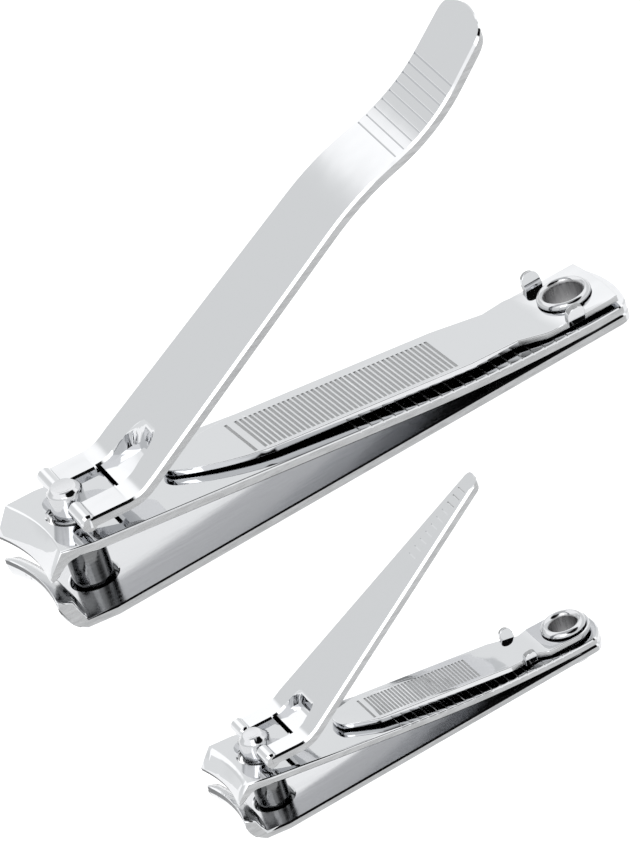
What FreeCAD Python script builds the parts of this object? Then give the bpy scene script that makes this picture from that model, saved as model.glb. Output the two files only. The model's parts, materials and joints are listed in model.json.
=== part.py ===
import FreeCAD, Part
import math
import os

import Sketcher
from FreeCAD import Placement, Rotation, Vector

# A set of two nail clippers, a toenail clipper and a fingernail clipper, in millimetres.
# Each clipper has its own frame: the origin is on the floor under its eyelet, +X points to the
# rear, -Y to the side of the viewer and +Z up. The toenail clipper's frame is the set's frame.

TOENAIL = {
    # Place in the set
    "place_across": 0.0,
    "place_along": 0.0,
    "place_turn": 0.0,
    # Both arms
    "arm_thickness": 1.2,
    "foot_height": 0.8,
    "post_distance": 63.6,
    "rear_reach": 5.9,
    "rear_shoulder": 4.7,
    "rear_corner": 1.8,
    "rear_width": 11.6,
    "jaw_width": 15.4,
    "blade_width": 12.4,
    "jaw_hollow": 24.0,
    "arm_front": 3.0,
    "tongue": 5.0,
    "heel_reach": 1.0,
    # Lower blade
    "lower_reach": 6.35,
    "lower_edge_height": 3.6,
    "lower_land": 1.8,
    "lower_land_drop": 0.9,
    "lower_heel": 2.9,
    "lower_front_drop": 0.8,
    "lower_sole": 2.5,
    "lower_round": 4.6,
    # Upper arm
    "bow_radius": 220.0,
    "spring_angle": 1.7,
    "arm_angle": 7.9,
    # Upper blade
    "upper_reach": 5.7,
    "upper_edge_drop": 2.55,
    "upper_bend": 1.5,
    "upper_nose": 0.3,
    "upper_nose_drop": 1.85,
    "upper_land": 0.9,
    "upper_land_drop": 1.95,
    "upper_heel": 2.3,
    "upper_heel_round": 1.4,
    # Grip grooves across the top of the upper arm
    "grip_start": 1.8,
    "grip_pitch": 1.52,
    "grip_width": 0.4,
    "grip_depth": 0.07,
    # Eyelet
    "eyelet_bore": 4.5,
    "eyelet_wall": 0.5,
    "eyelet_flange": 6.45,
    "eyelet_lip": 0.65,
    "eyelet_play": 0.2,
    "eyelet_clearance": 0.03,
    "swing_clearance": 0.2,
    # Pivot post
    "post_head": 9.4,
    "post_head_edge": 0.25,
    "post_shank": 4.8,
    "post_hole": 5.7,
    "post_play": 0.45,
    "shank_rise": 0.3,
    "knob_width": 4.2,
    "knob_height": 3.8,
    "knob_edge": 0.75,
    "neck_drop": 0.5,
    # Cross pin and lever
    "pin_rise": 1.85,
    "pin_width": 1.1,
    "pin_length": 9.0,
    "pin_hold": 0.02,
    "pin_clearance": 0.04,
    "pin_end_room": 0.3,
    "lever_turn": -4.6,
    "lever_thickness": 1.15,
    "knuckle_radius": 1.0,
    "fork_bend": 6.2,
    "bend_radius": 5.0,
    "fork_window": 5.0,
    "window_reach": 5.4,
    "fork_width": 13.4,
    "shoulder_width": 13.9,
    "shoulder_reach": 8.5,
    "handle_angle": 32.3,
    "handle_length": 35.9,
    "end_width": 10.5,
    "end_reach": 60.8,
    "end_round": 11.0,
    "end_corner": 1.6,
    "cam_lead": 1.6,
    "cam_depth": 0.5,
    "cam_length": 8.0,
    "cam_width": 7.4,
    "dimple_length": 6.4,
    "dimple_width": 5.4,
    "dimple_floor": 1.1,
    "dimple_lead": 0.8,
    "dimple_wall": 1.1,
    "dimple_angle": 22.0,
    "dimple_corner": 1.9,
    "thumb_width": 0.42,
    "thumb_depth": 0.1,
    "thumb_length": 10.2,
    # Nail file
    "file_gap": 0.35,
    "file_thickness": 0.8,
    "file_bend": 4.5,
    "file_angle": 6.9,
    "file_reach": 51.0,
    "head_rear": 4.2,
    "head_front": 5.4,
    "head_width": 10.2,
    "head_round": 40.0,
    "waist_reach": 8.6,
    "waist_width": 8.4,
    "body_reach": 15.0,
    "body_width": 9.8,
    "taper_reach": 40.0,
    "tip_width": 3.0,
    "tip_round": 26.0,
    "tip_nose": 1.7,
    "hatch_start": 16.5,
    "hatch_end": 41.1,
    "hatch_pitch": 0.62,
    "hatch_width": 0.8,
    "hatch_depth": 0.1,
    "hatch_length": 7.6,
    "hatch_shift": 0.45,
    "guide_line": 42.2,
    "tab_reach": 1.4,
    "tab_width": 2.3,
    "tab_height": 2.6,
    "tab_thickness": 0.8,
    "tab_flare": 18.0,
}

FINGERNAIL = {
    # Place in the set
    "place_across": -32.96,
    "place_along": -55.38,
    "place_turn": -2.06,
    # Both arms
    "arm_thickness": 0.9,
    "foot_height": 0.7,
    "post_distance": 36.8,
    "rear_reach": 3.4,
    "rear_shoulder": 2.0,
    "rear_corner": 1.2,
    "rear_width": 6.8,
    "jaw_width": 10.6,
    "blade_width": 8.6,
    "jaw_hollow": 17.0,
    "arm_front": 2.1,
    "tongue": 3.9,
    "heel_reach": 0.8,
    # Lower blade
    "lower_reach": 4.7,
    "lower_edge_height": 2.5,
    "lower_land": 1.3,
    "lower_land_drop": 0.65,
    "lower_heel": 2.1,
    "lower_front_drop": 0.6,
    "lower_sole": 1.8,
    "lower_round": 3.2,
    # Upper arm
    "bow_radius": 148.0,
    "spring_angle": 2.2,
    "arm_angle": 10.0,
    # Upper blade
    "upper_reach": 4.35,
    "upper_edge_drop": 1.75,
    "upper_bend": 1.15,
    "upper_nose": 0.2,
    "upper_nose_drop": 1.2,
    "upper_land": 0.65,
    "upper_land_drop": 1.3,
    "upper_heel": 1.7,
    "upper_heel_round": 1.0,
    # Grip grooves across the top of the upper arm
    "grip_start": 1.2,
    "grip_pitch": 1.1,
    "grip_width": 0.3,
    "grip_depth": 0.055,
    # Eyelet
    "eyelet_bore": 3.0,
    "eyelet_wall": 0.4,
    "eyelet_flange": 5.1,
    "eyelet_lip": 0.5,
    "eyelet_play": 0.2,
    "eyelet_clearance": 0.03,
    "swing_clearance": 0.2,
    # Pivot post
    "post_head": 7.0,
    "post_head_edge": 0.2,
    "post_shank": 3.7,
    "post_hole": 4.5,
    "post_play": 0.4,
    "shank_rise": 0.25,
    "knob_width": 3.5,
    "knob_height": 2.9,
    "knob_edge": 0.85,
    "neck_drop": 0.4,
    # Cross pin and lever
    "pin_rise": 1.5,
    "pin_width": 0.9,
    "pin_length": 7.0,
    "pin_hold": 0.02,
    "pin_clearance": 0.04,
    "pin_end_room": 0.3,
    "lever_turn": -1.5,
    "lever_thickness": 0.95,
    "knuckle_radius": 0.8,
    "fork_bend": 4.2,
    "bend_radius": 3.5,
    "fork_window": 4.1,
    "window_reach": 3.7,
    "fork_width": 9.4,
    "shoulder_width": 9.8,
    "shoulder_reach": 5.6,
    "handle_angle": 31.6,
    "handle_length": 33.4,
    "end_width": 2.4,
    "end_reach": 32.15,
    "end_round": 1.4,
    "end_corner": 0.7,
    "cam_lead": 1.2,
    "cam_depth": 0.35,
    "cam_length": 5.6,
    "cam_width": 6.0,
    "dimple_length": 3.3,
    "dimple_width": 4.3,
    "dimple_floor": 0.85,
    "dimple_lead": 0.5,
    "dimple_wall": 0.5,
    "dimple_angle": 20.0,
    "dimple_corner": 0.9,
    "thumb_width": 0.3,
    "thumb_depth": 0.05,
    "thumb_length": 1.5,
    # Nail file
    "file_gap": 0.35,
    "file_thickness": 0.65,
    "file_bend": 3.4,
    "file_angle": 7.8,
    "file_reach": 27.4,
    "head_rear": 0.4,
    "head_front": 3.2,
    "head_width": 5.8,
    "head_round": 2.95,
    "waist_reach": 4.6,
    "waist_width": 4.6,
    "body_reach": 8.0,
    "body_width": 6.0,
    "taper_reach": 23.5,
    "tip_width": 2.9,
    "tip_round": 24.0,
    "tip_nose": 3.0,
    "hatch_start": 11.5,
    "hatch_end": 23.3,
    "hatch_pitch": 0.41,
    "hatch_width": 0.54,
    "hatch_depth": 0.08,
    "hatch_length": 4.3,
    "hatch_shift": 0.3,
    "guide_line": 24.0,
    "tab_reach": 5.6,
    "tab_width": 1.5,
    "tab_height": 1.7,
    "tab_thickness": 0.65,
    "tab_flare": 18.0,
}

# The curl of the toenail lever's thumb end: it dips, then rises again. Angles are slopes.
THUMB_CURL = {
    "dip_angle": 16.5,
    "dip_radius": 38.0,
    "rise_angle": 43.0,
    "rise_radius": 24.0,
    "tail_length": 10.0,
}

# Lengths that both clippers share
SHARED = {
    "overrun": 3.0,
    "seat_depth": 0.3,
}

GRIP_COUNT = 20
TOENAIL_THUMB_COUNT = 9
FINGERNAIL_THUMB_COUNT = 10
LIP_ROUND_SHARE = 0.75
THUMB_RIDGE_SHARES = {"toenail": (0.06, 0.96), "fingernail": (0.66, 0.92)}

document = FreeCAD.newDocument("nail_clipper_set")
sheet = document.addObject("Spreadsheet::Sheet", "Sizes")


def fill_sheet():
    """Write each named size to its own cell, with the clipper's name in front of it."""
    rows = [("", SHARED), ("toenail_", TOENAIL), ("toenail_", THUMB_CURL), ("fingernail_", FINGERNAIL)]
    row = 0
    for prefix, sizes in rows:
        for name, value in sizes.items():
            row += 1
            sheet.set(f"A{row}", prefix + name)
            sheet.set(f"B{row}", str(value))
            sheet.setAlias(f"B{row}", prefix + name)
    document.recompute()


class Names:
    """The sheet's names for one clipper: names.arm_thickness is that cell, as an expression."""

    def __init__(self, clipper):
        self.clipper = clipper

    def __getattr__(self, size):
        prefix = "" if size in SHARED else f"{self.clipper}_"
        return f"Sizes.{prefix}{size}"

    @property
    def interface(self):
        """Height of the face where the two arms meet."""
        return f"({self.foot_height} + {self.arm_thickness})"

    @property
    def bow_length(self):
        """Length of the upper arm's bow, measured along X from the eyelet."""
        return f"({self.bow_radius} * (sin({self.arm_angle}) - sin({self.spring_angle})))"

    @property
    def bow_rise(self):
        """How far the bow lifts the upper arm."""
        return f"({self.bow_radius} * (cos({self.spring_angle}) - cos({self.arm_angle})))"

    def underside(self, reach):
        """Height of the upper arm's underside at a reach ahead of the bow."""
        climb = f"({reach} - {self.bow_length}) * tan({self.arm_angle})"
        return f"({self.interface} + {self.bow_rise} + {climb})"

    def bow_height(self, reach):
        """Height of the upper arm's underside at a reach within the bow."""
        run = f"({reach} + {self.bow_radius} * sin({self.spring_angle}))"
        drop = f"sqrt({self.bow_radius}^2 - {run}^2)"
        return f"({self.interface} + {self.bow_radius} * cos({self.spring_angle}) - {drop})"

    @property
    def arm_top_at_post(self):
        return f"({self.underside(self.post_distance)} + {self.arm_thickness})"

    @property
    def pin_height(self):
        """Height of the cross pin, on which the lever turns."""
        return f"({self.arm_top_at_post} + {self.pin_rise})"

    @property
    def file_height(self):
        """Height of the underside of the nail file's head."""
        return f"({self.interface} + {self.arm_thickness} + {self.file_gap})"

    @property
    def barrel_radius(self):
        return f"({self.eyelet_bore} / 2 + {self.eyelet_wall})"


def measure(text):
    """The present value of an expression on the sheet."""
    return float(sheet.evalExpression(text.replace("Sizes.", "")))


def tie(sketch, constraint, text):
    """Add a constraint and bind its value to the sheet."""
    number = sketch.addConstraint(constraint)
    sketch.setExpression(f"Constraints[{number}]", text)


def add_edge(sketch, start, stop, bend):
    """Add a straight edge, or an arc when bend gives (radius, side). The side is 1 where the
    arc's centre lies to the left of the way along, and -1 to the right."""
    if bend is None:
        return sketch.addGeometry(Part.LineSegment(start, stop), False), 1, 2
    radius_text, side = bend
    radius = measure(radius_text)
    chord = stop - start
    left = Vector(-chord.y, chord.x, 0).normalize()
    centre = (start + stop) * 0.5 + left * side * math.sqrt(radius ** 2 - (chord.Length / 2) ** 2)
    first, last = (start, stop) if side > 0 else (stop, start)
    circle = Part.Circle(centre, Vector(0, 0, 1), radius)
    from_angle = math.atan2(first.y - centre.y, first.x - centre.x)
    to_angle = math.atan2(last.y - centre.y, last.x - centre.x)
    number = sketch.addGeometry(Part.ArcOfCircle(circle, from_angle, to_angle), False)
    tie(sketch, Sketcher.Constraint("Radius", number, radius), radius_text)
    return (number, 1, 2) if side > 0 else (number, 2, 1)


def draw(sketch, corners):
    """Draw a closed outline. Each corner is (across, up), or (across, up, bend) where the edge
    that follows it is an arc."""
    spots = [Vector(measure(corner[0]), measure(corner[1]), 0) for corner in corners]
    edges = []
    for index, corner in enumerate(corners):
        bend = corner[2] if len(corner) > 2 else None
        edges.append(add_edge(sketch, spots[index], spots[(index + 1) % len(spots)], bend))
    for index, corner in enumerate(corners):
        number, begin, _ = edges[index]
        last_number, _, end = edges[index - 1]
        sketch.addConstraint(Sketcher.Constraint("Coincident", last_number, end, number, begin))
        tie(sketch, Sketcher.Constraint("DistanceX", number, begin, spots[index].x), corner[0])
        tie(sketch, Sketcher.Constraint("DistanceY", number, begin, spots[index].y), corner[1])


def draw_circle(sketch, across, up, radius):
    """Draw a full circle about a named place."""
    centre = Vector(measure(across), measure(up), 0)
    number = sketch.addGeometry(Part.Circle(centre, Vector(0, 0, 1), measure(radius)), False)
    tie(sketch, Sketcher.Constraint("DistanceX", number, 3, centre.x), across)
    tie(sketch, Sketcher.Constraint("DistanceY", number, 3, centre.y), up)
    tie(sketch, Sketcher.Constraint("Radius", number, measure(radius)), radius)


def mirrored(half):
    """Complete an outline from its +Y half, given from the rear to the front. An arc that ends
    the half, or starts it, is drawn once."""
    other = []
    for index in range(len(half) - 1, -1, -1):
        across, up = half[index][:2]
        bend = half[index - 1][2] if index > 0 and len(half[index - 1]) > 2 else None
        corner = (across, f"-({up})")
        other.append(corner + (bend,) if bend else corner)
    return list(half) + other


def new_body(clipper, piece):
    body = document.addObject("PartDesign::Body", f"{clipper}_{piece}")
    body.Label = f"{clipper}_{piece}"
    return body


def new_sketch(body, name, role, offset=None, tilt=None):
    """A sketch on one of the body's own planes. Offset names how far it is moved along its own
    axes, and tilt is (axis, angle) in its own frame."""
    sketch = body.newObject("Sketcher::SketchObject", f"{body.Label}_{name}_outline")
    plane = next(part for part in body.Origin.OriginFeatures if part.Role == role)
    sketch.AttachmentSupport = (plane, "")
    sketch.MapMode = "FlatFace"
    if tilt:
        sketch.AttachmentOffset = Placement(Vector(0, 0, 0), Rotation(tilt[0], measure(tilt[1])))
        sketch.setExpression("AttachmentOffset.Rotation.Angle", tilt[1])
    for axis, text in (offset or {}).items():
        sketch.setExpression(f"AttachmentOffset.Base.{axis}", text)
    return sketch


def pad(body, name, sketch, length, symmetric=True):
    feature = body.newObject("PartDesign::Pad", f"{body.Label}_{name}")
    feature.Profile = sketch
    feature.SideType = "Symmetric" if symmetric else "One side"
    feature.setExpression("Length", length)
    document.recompute()
    return feature


def cut_through(body, name, sketch):
    """Cut an outline through the whole body, both ways."""
    before = body.Shape.Volume
    feature = body.newObject("PartDesign::Pocket", f"{body.Label}_{name}")
    feature.Profile = sketch
    feature.SideType = "Symmetric"
    feature.Type = "ThroughAll"
    document.recompute()
    check_cut(feature, before)
    return feature


def cut_across(body, name, sketch, width):
    """Cut an outline on the middle plane to a named width."""
    before = body.Shape.Volume
    feature = body.newObject("PartDesign::Pocket", f"{body.Label}_{name}")
    feature.Profile = sketch
    feature.SideType = "Symmetric"
    feature.setExpression("Length", width)
    document.recompute()
    check_cut(feature, before)
    return feature


def check_cut(feature, volume_before):
    if feature.Shape.Volume >= volume_before:
        raise RuntimeError(f"{feature.Label} cut nothing")


def revolve(body, name, sketch, angle=None):
    """Turn an outline about its sketch's upright axis, all round or over an angle."""
    feature = body.newObject("PartDesign::Revolution", f"{body.Label}_{name}")
    feature.Profile = sketch
    feature.ReferenceAxis = (sketch, ["V_Axis"])
    if angle is None:
        feature.Angle = 360
    else:
        feature.Midplane = True
        feature.setExpression("Angle", angle)
    document.recompute()
    return feature


def trim_to_plan(body, name, outline, reach):
    """Keep only what lies within a plan outline."""
    sketch = new_sketch(body, name, "XY_Plane")
    far = f"({reach} + {Names('').overrun})"
    draw(sketch, [(far, far), (f"-{far}", far), (f"-{far}", f"-{far}"), (far, f"-{far}")])
    draw(sketch, outline)
    return cut_through(body, name, sketch)


def drill(body, name, role, across, up, radius):
    sketch = new_sketch(body, name, role)
    draw_circle(sketch, across, up, radius)
    return cut_through(body, name, sketch)


def round_rear_corners(body, names):
    """Round the two upright edges at the rear corners of an arm."""
    shoulder = measure(names.rear_shoulder)
    half_width = measure(names.rear_width) / 2
    arm = body.Tip
    chosen = []
    for number, edge in enumerate(arm.Shape.Edges, start=1):
        ends = [vertex.Point for vertex in edge.Vertexes]
        at_shoulder = all(math.isclose(end.x, shoulder, rel_tol=1e-6) for end in ends)
        at_side = all(math.isclose(abs(end.y), half_width, rel_tol=1e-6) for end in ends)
        if at_shoulder and at_side and len(ends) == 2:
            chosen.append(f"Edge{number}")
    fillet = body.newObject("PartDesign::Fillet", f"{body.Label}_rear_corners")
    fillet.Base = (arm, chosen)
    fillet.setExpression("Radius", names.rear_corner)
    document.recompute()


def arm_plan(names):
    """Plan outline of an arm: a bowed rear end, sides that widen to the heel, a narrower blade."""
    half_rear = f"{names.rear_width} / 2"
    depth = f"({names.rear_reach} - {names.rear_shoulder})"
    rear_radius = f"((({half_rear})^2 + {depth}^2) / (2 * {depth}))"
    heel = f"-({names.post_distance} + {names.heel_reach})"
    front = f"-({names.post_distance} + {names.lower_reach} + {names.overrun})"
    return [
        (names.rear_shoulder, f"-{half_rear}", (rear_radius, 1)),
        (names.rear_shoulder, half_rear),
        (heel, f"{names.jaw_width} / 2"),
        (front, f"{names.blade_width} / 2"),
        (front, f"-{names.blade_width} / 2"),
        (heel, f"-{names.jaw_width} / 2"),
    ]


def hollow_angle(names):
    """Angle over which the hollow front of a jaw is turned, wide enough to pass its sides."""
    return f"2 * asin(({names.jaw_width} + {names.overrun}) / 2 / {names.jaw_hollow})"


def build_lower_jaw(names):
    """Flat spring arm. Its blade is turned about an upright axis ahead of the jaw, which hollows
    the front."""
    body = new_body(names.clipper, "lower_jaw")
    side = new_sketch(body, "arm", "XZ_Plane")
    front = f"-({names.post_distance} + {names.arm_front})"
    draw(side, [
        (names.rear_reach, names.foot_height),
        (names.rear_reach, names.interface),
        (front, names.interface),
        (front, names.foot_height),
    ])
    pad(body, "arm", side, f"{names.jaw_width} + {names.overrun}")
    axis = f"-({names.post_distance} + {names.lower_reach} + {names.jaw_hollow})"
    blade = new_sketch(body, "blade", "XZ_Plane", {"x": axis})
    edge = names.jaw_hollow
    edge_height = f"({names.interface} + {names.lower_edge_height})"
    draw(blade, [
        (f"{edge} + {names.tongue}", names.foot_height),
        (f"{edge} + {names.tongue}", names.interface),
        (f"{edge} + {names.lower_heel}", names.interface),
        (f"{edge} + {names.lower_land}", f"{edge_height} - {names.lower_land_drop}"),
        (edge, edge_height),
        (edge, f"{edge_height} - {names.lower_front_drop}", (names.lower_round, 1)),
        (f"{edge} + {names.lower_sole}", names.foot_height),
    ])
    revolve(body, "blade", blade, hollow_angle(names))
    trim_to_plan(body, "plan", arm_plan(names), f"{names.post_distance} * 2")
    round_rear_corners(body, names)
    drill(body, "post_hole", "XY_Plane", f"-{names.post_distance}", "0", f"{names.post_hole} / 2")
    drill(body, "eyelet_hole", "XY_Plane", "0", "0", f"{names.barrel_radius} + {names.eyelet_clearance}")
    return body


def grip_outlines(names, sketch):
    """Small notches across the top of the upper arm, evenly spaced along the bow and past it."""
    for index in range(GRIP_COUNT):
        reach = f"({names.grip_start} + {index} * {names.grip_pitch})"
        on_bow = measure(reach) < measure(names.bow_length)
        under = names.bow_height(reach) if on_bow else names.underside(reach)
        top = f"{under} + {names.arm_thickness}"
        draw(sketch, [
            (f"-({reach} - {names.grip_width} / 2)", f"{top} + {names.grip_depth}"),
            (f"-({reach} + {names.grip_width} / 2)", f"{top} + {names.grip_depth}"),
            (f"-{reach}", f"{top} - {names.grip_depth}"),
        ])


def build_upper_jaw(names):
    """Bowed spring arm: flat at the eyelet, then a long bow, then straight to the blade."""
    body = new_body(names.clipper, "upper_jaw")
    side = new_sketch(body, "arm", "XZ_Plane")
    front_reach = f"({names.post_distance} + {names.arm_front})"
    top = names.arm_thickness
    bow_end = f"({names.interface} + {names.bow_rise})"
    draw(side, [
        (names.rear_reach, names.interface),
        ("0", names.interface, (names.bow_radius, -1)),
        (f"-{names.bow_length}", bow_end),
        (f"-{front_reach}", names.underside(front_reach)),
        (f"-{front_reach}", f"{names.underside(front_reach)} + {top}"),
        (f"-{names.bow_length}", f"{bow_end} + {top}", (names.bow_radius, 1)),
        ("0", f"{names.interface} + {top}"),
        (names.rear_reach, f"{names.interface} + {top}"),
    ])
    pad(body, "arm", side, f"{names.jaw_width} + {names.overrun}")
    reach = f"({names.upper_reach} + {names.jaw_hollow})"
    at_post = names.underside(names.post_distance)
    offset = {
        "x": f"-({names.post_distance} + {reach} * cos({names.arm_angle}))",
        "y": f"{at_post} + {reach} * sin({names.arm_angle})",
    }
    blade = new_sketch(body, "blade", "XZ_Plane", offset, (Vector(0, 0, 1), f"-{names.arm_angle}"))
    edge = names.jaw_hollow
    thickness = f"({names.arm_thickness} * cos({names.arm_angle}))"
    run = f"({names.upper_heel} - {names.upper_land})"
    slant = f"sqrt({run}^2 + {names.upper_land_drop}^2)"
    heel_radius = f"({names.upper_heel_round} * sqrt(({slant} + {run}) / ({slant} - {run})))"
    draw(blade, [
        (f"{edge} + {names.tongue}", "0"),
        (f"{edge} + {names.tongue}", thickness),
        (f"{edge} + {names.upper_bend}", thickness),
        (f"{edge} - {names.upper_nose}", f"-{names.upper_nose_drop}"),
        (edge, f"-{names.upper_edge_drop}"),
        (f"{edge} + {names.upper_land}", f"-{names.upper_land_drop}"),
        (f"{edge} + {names.upper_heel} - {names.upper_heel_round} * {run} / {slant}",
         f"-{names.upper_heel_round} * {names.upper_land_drop} / {slant}", (heel_radius, -1)),
        (f"{edge} + {names.upper_heel} + {names.upper_heel_round}", "0"),
    ])
    revolve(body, "blade", blade, hollow_angle(names))
    trim_to_plan(body, "plan", arm_plan(names), f"{names.post_distance} * 2")
    round_rear_corners(body, names)
    hole = f"{names.post_shank} / 2 + {names.post_play}"
    drill(body, "post_hole", "XY_Plane", f"-{names.post_distance}", "0", hole)
    drill(body, "eyelet_hole", "XY_Plane", "0", "0", f"{names.barrel_radius} + {names.swing_clearance}")
    grips = new_sketch(body, "grips", "XZ_Plane")
    grip_outlines(names, grips)
    cut_across(body, "grips", grips, f"{names.jaw_width} + {names.overrun}")
    return body


def build_eyelet(names):
    """Hollow rivet with a flat foot and a rolled lip over the nail file."""
    body = new_body(names.clipper, "eyelet")
    half = new_sketch(body, "half", "XZ_Plane")
    bore = f"{names.eyelet_bore} / 2"
    flange = f"{names.eyelet_flange} / 2"
    seat = f"({names.file_height} + {names.file_thickness} + {names.eyelet_play})"
    crown = f"({bore} + {flange}) / 2"
    lip_round = f"({flange} - {bore}) * {LIP_ROUND_SHARE}"
    draw(half, [
        (bore, "0"),
        (flange, "0"),
        (flange, names.foot_height),
        (names.barrel_radius, names.foot_height),
        (names.barrel_radius, seat),
        (flange, seat, (lip_round, 1)),
        (crown, f"{seat} + {names.eyelet_lip}", (lip_round, 1)),
        (bore, seat),
    ])
    revolve(body, "rivet", half)
    return body


def build_pivot_post(names):
    """Headed pin: a foot under the lower jaw, a shank through both jaws and a knob on top."""
    body = new_body(names.clipper, "pivot_post")
    half = new_sketch(body, "half", "XZ_Plane")
    head = f"{names.post_head} / 2"
    shank = f"{names.post_shank} / 2"
    knob = f"{names.knob_width} / 2"
    shoulder = f"({names.arm_top_at_post} + {names.shank_rise})"
    knob_top = f"({names.arm_top_at_post} + {names.knob_height})"
    draw(half, [
        ("0", "0"),
        (f"{head} - {names.post_head_edge}", "0"),
        (head, names.post_head_edge),
        (head, names.foot_height),
        (shank, names.foot_height),
        (shank, f"{shoulder} - {names.neck_drop}"),
        (knob, shoulder),
        (knob, f"{knob_top} - {names.knob_edge}"),
        (f"{knob} - {names.knob_edge}", knob_top),
        ("0", knob_top),
    ])
    revolve(body, "pin", half)
    bore = f"{names.pin_width} / 2 + {names.pin_hold}"
    drill(body, "pin_bore", "XZ_Plane", "0", names.pin_height, bore)
    return body


def build_lever_pin(names):
    """Cross pin held in the knob, its ends inside the eyes of the lever's fork."""
    body = new_body(names.clipper, "lever_pin")
    end = new_sketch(body, "end", "XZ_Plane")
    draw_circle(end, "0", names.pin_height, f"{names.pin_width} / 2")
    pad(body, "pin", end, names.pin_length)
    return body


def bend_tangent(names):
    """Length of the fork's bend, measured along the prongs to where they would meet the handle."""
    return f"({names.bend_radius} * tan({names.handle_angle} / 2))"


def handle_runs(names):
    """The handle's runs from the fork: straight lengths, and arcs from one slope to the next."""
    runs = [
        ("arc", names.bend_radius, "0", names.handle_angle, 1),
        ("straight", f"({names.handle_length} - {bend_tangent(names)})"),
    ]
    if names.clipper == "toenail":
        runs.append(("arc", names.dip_radius, names.handle_angle, names.dip_angle, -1))
        runs.append(("arc", names.rise_radius, names.dip_angle, names.rise_angle, 1))
        runs.append(("straight", names.tail_length))
    return runs


def handle_corners(names):
    """Top and underside corners of the handle, run by run, each with the bend that follows it."""
    slope = "0"
    across = f"({names.fork_bend} - {bend_tangent(names)})"
    up = f"({names.pin_height} + {names.lever_thickness} / 2)"
    tops = []
    unders = []
    under = (across, f"{up} - {names.lever_thickness}")
    for run in handle_runs(names):
        if run[0] == "straight":
            tops.append((across, up))
            unders.append(under)
            across = f"({across} + {run[1]} * cos({slope}))"
            up = f"({up} + {run[1]} * sin({slope}))"
        else:
            radius, start, stop, side = run[1:]
            inner = f"({radius} + {side} * {names.lever_thickness})"
            tops.append((across, up, (radius, side)))
            unders.append(under + ((inner, -side),))
            way = f"{side} * {radius}"
            across = f"({across} + {way} * (sin({stop}) - sin({start})))"
            up = f"({up} + {way} * (cos({start}) - cos({stop})))"
            slope = stop
        lever = names.lever_thickness
        under = (f"{across} + {lever} * sin({slope})", f"{up} - {lever} * cos({slope})")
    tops.append((across, up))
    unders.append(under)
    return tops, unders


def lever_side(names):
    """Side outline of the lever: flat prongs, then the handle's top and back along its underside."""
    tops, unders = handle_corners(names)
    half = f"{names.lever_thickness} / 2"
    back = []
    for index in range(len(unders) - 1, -1, -1):
        bend = unders[index - 1][2] if index > 0 and len(unders[index - 1]) > 2 else None
        corner = unders[index][:2]
        back.append(corner + (bend,) if bend else corner)
    front = [("0", f"{names.pin_height} - {half}"), ("0", f"{names.pin_height} + {half}")]
    return front + tops + back


def lever_plan(names):
    """Plan outline of the lever, from its rounded thumb end to the tips of the fork."""
    front = f"-({names.knuckle_radius} + {names.overrun})"
    half_end = f"{names.end_width} / 2"
    return [
        (f"{names.end_reach} - {names.end_corner}", f"-{half_end}", (names.end_corner, 1)),
        (names.end_reach, f"-({half_end} - {names.end_corner})", (names.end_round, 1)),
        (names.end_reach, f"{half_end} - {names.end_corner}", (names.end_corner, 1)),
        (f"{names.end_reach} - {names.end_corner}", half_end),
        (names.shoulder_reach, f"{names.shoulder_width} / 2"),
        (front, f"{names.fork_width} / 2"),
        (front, f"-{names.fork_width} / 2"),
        (names.shoulder_reach, f"-{names.shoulder_width} / 2"),
    ]


def thumb_outlines(names, sketch):
    """Notches across the thumb end, spread over the rise of its curl or along a straight tip."""
    first_share, last_share = THUMB_RIDGE_SHARES[names.clipper]
    count = TOENAIL_THUMB_COUNT if names.clipper == "toenail" else FINGERNAIL_THUMB_COUNT
    tops, _ = handle_corners(names)
    for index in range(count):
        share = first_share + (last_share - first_share) * index / (count - 1)
        if names.clipper == "toenail":
            start, stop = names.dip_angle, names.rise_angle
            slope = f"({start} + ({stop} - {start}) * {share})"
            across = f"({tops[3][0]} + {names.rise_radius} * (sin({slope}) - sin({start})))"
            up = f"({tops[3][1]} + {names.rise_radius} * (cos({start}) - cos({slope})))"
        else:
            slope = names.handle_angle
            across = f"({names.fork_bend} + {names.handle_length} * {share} * cos({slope}))"
            up = f"({tops[0][1]} + {names.handle_length} * {share} * sin({slope}))"
        along = f"{names.thumb_width} / 2 * cos({slope})"
        climb = f"{names.thumb_width} / 2 * sin({slope})"
        draw(sketch, [
            (f"{across} - {along}", f"{up} - {climb} + {names.thumb_depth}"),
            (f"{across} + {along}", f"{up} + {climb} + {names.thumb_depth}"),
            (f"{across} + {names.thumb_depth} * sin({slope})", f"{up} - {names.thumb_depth}"),
        ])


def round_dimple(names, body, foot):
    """Round the two upright corners at the rear of the lever's dimple."""
    half_width = measure(names.dimple_width) / 2
    behind = measure(foot) - measure(names.seat_depth)
    lever = body.Tip
    chosen = []
    for number, edge in enumerate(lever.Shape.Edges, start=1):
        ends = [vertex.Point for vertex in edge.Vertexes]
        at_wall = all(math.isclose(abs(end.y), half_width, rel_tol=1e-6) and end.x > behind for end in ends)
        if at_wall and len(ends) == 2:
            chosen.append(f"Edge{number}")
    fillet = body.newObject("PartDesign::Fillet", f"{body.Label}_dimple_corners")
    fillet.Base = (lever, chosen)
    fillet.setExpression("Radius", names.dimple_corner)
    document.recompute()


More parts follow.
